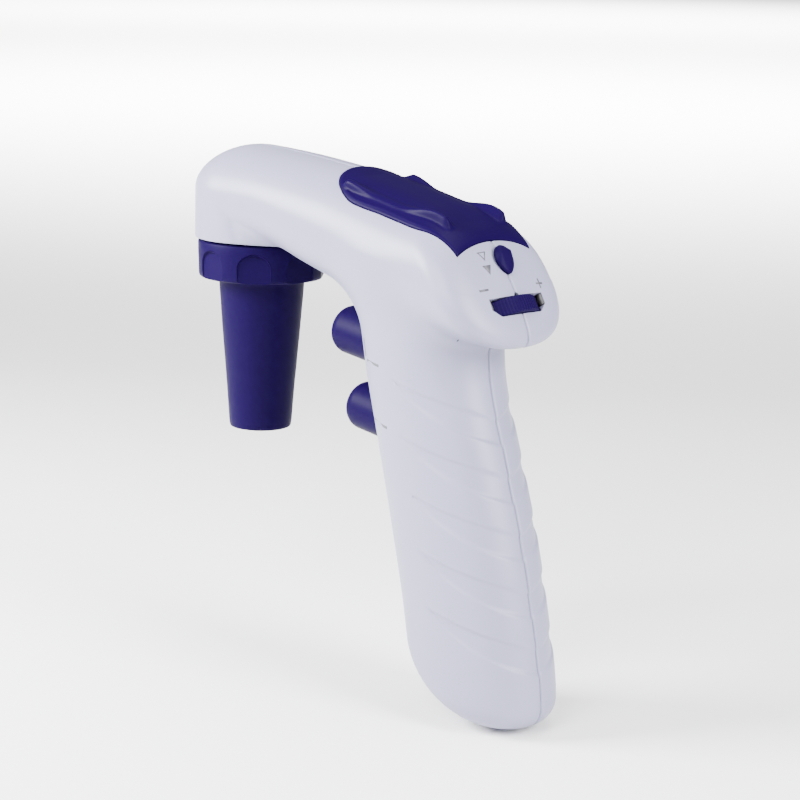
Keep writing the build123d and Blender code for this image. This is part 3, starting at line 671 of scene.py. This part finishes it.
WHITE = (0.21, 0.21, 0.305)
BLUE = (0.0042, 0.0005, 0.024)
looks = {
    "white_shell": plastic("shell", WHITE, 0.42, 0.25, speck=0.012, shine=0.4),
    "blue_plastic": plastic("blue satin", BLUE, 0.46, 0.35, speck=0.06, shine=0.03),
    "blue_gloss": plastic("blue gloss", BLUE, 0.40, 0.12, speck=0.05, shine=0.03),
    "silicone": plastic("silicone", (0.55, 0.57, 0.60), 0.55, 0.3, sheen=0.2, speck=0.05),
    "filter_plastic": plastic("filter housing", (0.72, 0.73, 0.72), 0.4, 0.2),
    "grey_plastic": plastic("grey plastic", (0.16, 0.17, 0.18), 0.45, 0.3, speck=0.06),
    "seal_rubber": plastic("seal rubber", (0.018, 0.018, 0.02), 0.6, 0.5, sheen=0.1, speck=0.15),
    "brass": metal("brass", (0.62, 0.42, 0.16), 0.28),
    "steel": metal("steel", (0.56, 0.57, 0.59), 0.24),
    "spring_steel": metal("spring steel", (0.45, 0.46, 0.48), 0.30, 900),
    "motor_can": metal("motor can", (0.50, 0.51, 0.52), 0.34, 300, (14, 1, 1)),
    "circuit_board": board("circuit board"),
    "black_plastic": plastic("black plastic", (0.02, 0.02, 0.022), 0.42, 0.35, speck=0.12),
    "clear_tube": clear("clear tube", (0.80, 0.82, 0.82), 0.18),
    "cell_sleeve": plastic("cell sleeve", (0.05, 0.16, 0.34), 0.30, 0.15, coat=0.2, speck=0.06),
}
mark_grey = plastic("printed mark", (0.07, 0.07, 0.085), 0.5, 0.1, speck=0.04)

slots = {part["node"]: part["material_slot"] for part in frame["record"]["subparts"]}
for name, node in frame["nodes"].items():
    node.data.materials.clear()
    node.data.materials.append(looks[slots[name]])


def dress(obj, slot, body, *nodes):
    """Gives a modelled piece its finish, its body and the CAD nodes that it stands for."""
    obj.data.materials.clear()
    obj.data.materials.append(looks[slot])
    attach(obj, body)
    if nodes:
        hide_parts(*nodes)


def crisp(obj, angle=36):
    """Smooth shading that breaks at real edges."""
    obj.data.set_sharp_from_angle(angle=math.radians(angle))


def lathe(name, profile, centre, u, v, axis, count=160):
    """Turned solid from a closed profile of (radius, position along the axis)."""
    turn = np.linspace(0, 2 * math.pi, count, endpoint=False)
    spoke = np.cos(turn)[:, None] * u + np.sin(turn)[:, None] * v
    points = [np.asarray(centre) + spoke * radius + axis * at for radius, at in profile]
    rows = len(profile)
    faces = []
    for r in range(rows):
        a, b = r * count, (r + 1) % rows * count
        for j in range(count):
            k = (j + 1) % count
            faces.append((a + j, a + k, b + k, b + j))
    return outward(mesh_object(name, np.concatenate(points), faces))


def bevel(obj, width, segments=3, angle=40):
    """Rounds the edges that are sharper than an angle."""
    apply(obj, "BEVEL", width=width * MM, segments=segments, limit_method="ANGLE",
          angle_limit=math.radians(angle), harden_normals=False)


# ------------------------------------------------------------------ nosepiece
GRIP_COUNT = 8
GRIP_TURN = -3.7
GRIP_HALF = 16.2        # half the width of a finger grip, in degrees
GRIP_FLOOR = 18.1       # distance of its flat floor from the axis
GRIP_TOP = 54.8
GRIP_ARCH = 4.2         # height of its arch
GRIP_SPREAD = 49.0      # above this height its sides spread outwards
# height and radius of the cone
NOSE = np.array([[0, 9.4], [12, 10.25], [30, 11.75], [45, 12.9]])


def make_nosepiece():
    """Turned cone and collar with arched finger grips cut round the collar."""
    mouth = [(8.9, 0.0), (9.15, 0.12), (9.33, 0.5), (9.42, 1.2)]
    cone = [(float(along(NOSE, z, 1)), float(z)) for z in np.linspace(2.4, 44.4, 44)]
    collar = [(13.05, 45.1), (13.5, 45.6), (14.4, 45.8), (17.4, 45.85), (18.3, 46.0), (18.8, 46.4),
              (19.02, 47.0), (19.1, 48.2), (19.2, 54.0), (19.25, 56.4), (19.1, 56.85), (18.75, 57.1),
              (18.2, 57.2)]
    bore = [(12.95, 57.2), (12.95, 47.0), (10.8, 47.0), (10.8, 42.0), (7.6, 4.0), (6.5, 4.0), (6.5, 0.0)]
    profile = mouth + cone + collar + bore
    nose = lathe("nosepiece_sleeve", profile, (0, 0, 0), X_AXIS, Y_AXIS, Z_AXIS, 240)
    half = 19.15 * math.sin(math.radians(GRIP_HALF))
    arch = np.linspace(0, math.pi, 25)
    outline = [(half, 44.0)]
    outline += [(half * math.cos(a), GRIP_TOP - GRIP_ARCH + GRIP_ARCH * math.sin(a)) for a in arch]
    outline += [(-half, 44.0)]
    for i in range(GRIP_COUNT):
        turn = math.radians(GRIP_TURN + i * 360 / GRIP_COUNT)
        out = np.array([math.cos(turn), math.sin(turn), 0])
        side = np.array([-math.sin(turn), math.cos(turn), 0])
        rings = []
        for distance, scale in ((GRIP_FLOOR, 0.90), (19.2, 1.0), (22.5, 1.25)):
            heights = [GRIP_SPREAD + (w - GRIP_SPREAD) * (scale if w > GRIP_SPREAD else 1)
                       for _, w in outline]
            rings.append([out * distance + side * v * scale + Z_AXIS * height
                          for (v, _), height in zip(outline, heights)])
        cut(nose, ring_solid("cutter", rings))
    return nose


# ------------------------------------------------------------------ buttons, dial, knob
BUTTON_ROUND = 4.4
BUTTON_HOLLOW = 9.0     # depth of the hollow behind, where the spring sits


def make_button(name):
    """Push button: crowned face, wide rounded rim, hollow back."""
    tip, height, length = BUTTONS[name]
    r = BUTTON_RADIUS
    profile = [(0.01, 0.0), (1.2, 0.02), (2.4, 0.1)]
    for a in np.linspace(0, math.pi / 2, 15):
        profile.append((r - BUTTON_ROUND + BUTTON_ROUND * math.sin(a),
                        0.12 + BUTTON_ROUND * (1 - math.cos(a))))
    hollow = length - BUTTON_HOLLOW
    profile += [(r, 8.0), (r, length - 0.4), (r - 0.4, length), (5.4, length), (5.4, hollow),
                (2.0, hollow), (2.0, hollow - 5.0), (0.01, hollow - 5.0)]
    centre = BUTTON_UP * height + BUTTON_IN * tip
    return lathe(name + "_cap", profile, centre, BUTTON_UP, Y_AXIS, BUTTON_IN, 96)


SPRING_END = 64.5       # where the springs rest on the valve block, along the buttons' axes
SPRING_RADIUS = 4.4
SPRING_WIRE = 0.35      # radius of the wire
SPRING_PITCH = 2.4
SPRING_GAP = 0.05       # at each end


def make_spring(name):
    """Return spring between a button's hollow back and the valve block."""
    tip, height, length = BUTTONS[name]
    start = tip + length - BUTTON_HOLLOW + SPRING_GAP + SPRING_WIRE
    run = SPRING_END - SPRING_GAP - SPRING_WIRE - start
    turns = round(run / SPRING_PITCH)
    rings = []
    for t in np.linspace(0, 1, turns * 28 + 1):
        turn = 2 * math.pi * turns * t
        spoke = math.cos(turn) * BUTTON_UP + math.sin(turn) * Y_AXIS
        middle = BUTTON_UP * height + BUTTON_IN * (start + run * t)
        rings.append(circle(middle + spoke * SPRING_RADIUS, spoke, BUTTON_IN, SPRING_WIRE, 10))
    coil = ring_solid(name + "_coil", rings)
    dress(coil, "spring_steel", "housing", name + "_spring")
    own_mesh(coil)


DIAL_RADIUS = 12.0
DIAL_TEETH = 72


def make_dial():
    """Thumb wheel with a fine straight knurl and bevelled rims."""
    count = DIAL_TEETH * 8
    turn = np.linspace(0, 2 * math.pi, count, endpoint=False)
    groove = np.clip(1 - np.abs((turn * DIAL_TEETH / (2 * math.pi)) % 1 - 0.5) * 5, 0, 1)
    rings = []
    for depth, at in ((10.0, -2.4), (0.35, -2.4), (0.0, -2.05), (0.0, 1.95), (0.35, 2.3), (10.0, 2.3)):
        radius = DIAL_RADIUS - depth - groove * (0.12 if depth < 1 else 0)
        spoke = np.cos(turn)[:, None] * REAR_NORMAL + np.sin(turn)[:, None] * Y_AXIS
        rings.append(DIAL_CENTRE + spoke * radius[:, None] + REAR_UP * at)
    return ring_solid("dial_wheel", rings, closed_ends=False)


KNOB_BASE = 0.4         # its underside's height above the face


def make_knob():
    """Faceted pear-shaped slide knob with a thumb ridge and a guide stem."""
    bm = bmesh.new()

    def point(u, v, h):
        bm.verts.new(Vector(((KNOB_FACE + REAR_UP * u + Y_AXIS * v + REAR_NORMAL * h) * MM).tolist()))

    for inset, h in ((0.0, KNOB_BASE), (0.0, KNOB_BASE + 0.7), (0.28, KNOB_BASE + 1.15)):
        for i in range(40):
            a = 2 * math.pi * i / 40
            taper = 0.78 + 0.22 * smooth((math.sin(a) + 1.05) / 1.25)
            point((4.2 - inset) * math.sin(a), (3.15 - inset) * taper * math.cos(a), h)
    # corners of the facets and of the thumb ridge
    for u, half, h in ((1.9, 1.9, 2.2), (-3.0, 0.5, 1.35), (3.5, 0.8, 1.35)):
        for v in (half, -half):
            point(u, v, KNOB_BASE + h)
    bmesh.ops.convex_hull(bm, input=bm.verts[:])
    loose = [v for v in bm.verts if not v.link_faces]
    bmesh.ops.delete(bm, geom=loose, context="VERTS")
    data = bpy.data.meshes.new("knob_cap")
    bm.to_mesh(data)
    bm.free()
    knob = bpy.data.objects.new("knob_cap", data)
    bpy.context.scene.collection.objects.link(knob)
    for polygon in data.polygons:
        polygon.use_smooth = True
    stem = rounded_box(KNOB_FACE + REAR_UP * 1.5, Y_AXIS, REAR_UP, 1.0, 1.6, 0.2)
    tool = ring_solid("cutter", [stem - REAR_NORMAL * 4.2, stem + REAR_NORMAL * (KNOB_BASE + 0.3)])
    cut(knob, tool, "UNION")
    bevel(knob, 0.16, 3, 24)
    return knob


# ------------------------------------------------------------------ printed marks
PRINT_DEPTH, PRINT_RISE = 0.12, 0.035   # below and above the housing's surface


def print_mark(name, outline, body):
    """A thin printed patch on the housing, from the points of its outline in mm."""
    points = settle(housing_field, np.asarray(outline, float))
    normal = gradient(housing_field, points)
    normal /= np.linalg.norm(normal, axis=1)[:, None]
    mark = ring_solid(name, [points - normal * PRINT_DEPTH, points + normal * PRINT_RISE])
    mark.data.materials.clear()
    mark.data.materials.append(mark_grey)
    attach(mark, body)
    return mark


def on_face(u, v):
    """Point near the rear face, from its middle."""
    return REAR_POINT + REAR_UP * u + Y_AXIS * v


def face_mark(name, middle, shape):
    """A printed patch on the rear face."""
    u, v = middle
    return print_mark(name, [on_face(u + du, v + dv) for dv, du in shape], "housing")


def stroke(name, start, end, width):
    """A printed line across the surface between two points."""
    start, end = np.asarray(start, float), np.asarray(end, float)
    path = settle(housing_field, start + (end - start) * np.linspace(0, 1, 14)[:, None])
    normal = gradient(housing_field, path)
    side = np.cross(normal, np.gradient(path, axis=0))
    side *= width / 2 / np.linalg.norm(side, axis=1)[:, None]
    return print_mark(name, np.concatenate([path + side, (path - side)[::-1]]), "housing")


def make_marks():
    """Minus, plus, the two triangles and the index lines beside the buttons."""
    bar, thin = 1.6, 0.30
    face_mark("mark_minus", (0.4, -10.9), [(-bar, -thin), (bar, -thin), (bar, thin), (-bar, thin)])
    plus = [(-bar, -thin), (-thin, -thin), (-thin, -bar), (thin, -bar), (thin, -thin), (bar, -thin),
            (bar, thin), (thin, thin), (thin, bar), (-thin, bar), (-thin, thin), (-bar, thin)]
    face_mark("mark_plus", (0.4, 11.1), [(0.9 * a, 0.9 * b) for a, b in plus])
    outer, inner = [(-1.55, 1.3), (1.55, 1.3), (0, -1.55)], [(-0.95, 0.95), (0.95, 0.95), (0, -0.85)]
    face_mark("mark_full", (6.0, -6.5), outer)
    for i in range(3):
        k = (i + 1) % 3
        face_mark("mark_hollow_" + "abc"[i], (10.2, -6.2), [outer[i], outer[k], inner[k], inner[i]])
    stroke("index_upper", (58.9, -14.4, 36.9), (60.0, -13.7, 31.9), 0.9)
    stroke("index_upper_end", (61.0, -14.0, 31.0), (67.8, -16.4, 30.6), 0.75)
    stroke("index_lower", (63.4, -13.0, 14.6), (71.5, -16.2, 13.7), 0.75)


# ------------------------------------------------------------------ build
left, right = make_housing()
for side, half in ((-1, left), (1, right)):
    open_housing(half, side)
    cut(half, cover_patch("cutter", 0.2, -1.2, recess_top, 14))
    crisp(half)
dress(left, "white_shell", "housing", "housing_left")
dress(right, "white_shell", "housing", "housing_right")
cover = cover_patch("cover", 0.0, -1.1, cover_top, 60)
crisp(cover, 50)
dress(cover, "blue_gloss", "housing", "top_cover")
nose = make_nosepiece()
crisp(nose)
dress(nose, "blue_plastic", "nosepiece", "nosepiece")
for name in BUTTONS:
    cap = make_button(name)
    crisp(cap)
    dress(cap, "blue_plastic", name, name + "_button")
    make_spring(name)
# Painted shade: thin black plates at both ends of the dial's slot, just below the face, stand in for the
# shade deep in the slot
for side, name in ((-1, "dial_shroud_left"), (1, "dial_shroud_right")):
    plate = rounded_box(DIAL_FACE + REAR_UP * 1.05, Y_AXIS, REAR_UP, 0.2, 1.6, 0.1) + Y_AXIS * (10.05 * side)
    slot_shade = ring_solid(name, [plate - REAR_NORMAL * 3.2, plate - REAR_NORMAL * 0.6])
    dress(slot_shade, "black_plastic", "housing")
dial = make_dial()
crisp(dial)
dress(dial, "blue_plastic", "dial", "speed_dial")
knob = make_knob()
crisp(knob, 30)
dress(knob, "blue_plastic", "knob", "mode_knob")
make_marks()

# ------------------------------------------------------------------ floor and light
FLOOR_HALF = 30000      # half its side, in mm
FLOOR_GAP = 0.0002      # below the object's lowest point, in metres
paper = plastic("paper", (0.84, 0.84, 0.84), 0.8, 0.05, speck=0.004)
floor_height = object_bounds()[0][2] - FLOOR_GAP
floor_corners = [(FLOOR_HALF * x, FLOOR_HALF * y, 0) for x, y in ((-1, -1), (1, -1), (1, 1), (-1, 1))]
floor = mesh_object("floor", floor_corners, [(0, 1, 2, 3)], paper)
floor.location.z = floor_height
floor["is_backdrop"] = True


def soft_box(name, place, size, power, aim=(0.06, 0, 0.02)):
    """A rectangular soft light, aimed at the object or at the floor behind it."""
    data = bpy.data.lights.new(name, "AREA")
    data.shape = "RECTANGLE"
    data.size, data.size_y = size
    data.energy = power
    light = bpy.data.objects.new(name, data)
    bpy.context.scene.collection.objects.link(light)
    light.location = place
    way = Vector(aim) - Vector(place)
    light.rotation_euler = way.to_track_quat("-Z", "Y").to_euler()


# seen from the camera, left is -X-Y and right is +X+Y
soft_box("key", (-0.26, -0.36, 0.26), (0.26, 0.26), 16, (0.01, 0, 0.06))
soft_box("front", (0.30, -0.75, 0.60), (0.5, 0.5), 16, (0.04, 0, 0.05))
soft_box("top", (0.10, 0.25, 1.30), (0.8, 0.8), 16)
soft_box("rim", (0.80, 0.05, 0.40), (0.3, 0.5), 20, (0.10, 0, 0.06))
soft_box("near sweep", (-0.9, 1.0, 1.1), (1.0, 1.0), 46, (-1.9, 2.1, -0.07))
soft_box("sweep", (-1.7, 1.9, 1.9), (2.2, 2.2), 900, (-2.85, 3.3, -0.07))
soft_box("far sweep", (-5.5, 5.7, 3.2), (5, 5), 2400, (-6.5, 6.7, -0.07))

world = bpy.data.worlds.new("studio")
bpy.context.scene.world = world
world.use_nodes = True
sky = world.node_tree.nodes["Background"]
sky.inputs["Color"].default_value = (1, 1, 1, 1)
sky.inputs["Strength"].default_value = 0.25

for key, box in (("cad", cad_box), ("visual", [list(corner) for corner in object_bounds()])):
    print(key, [[round(value * 1000, 1) for value in corner] for corner in box])
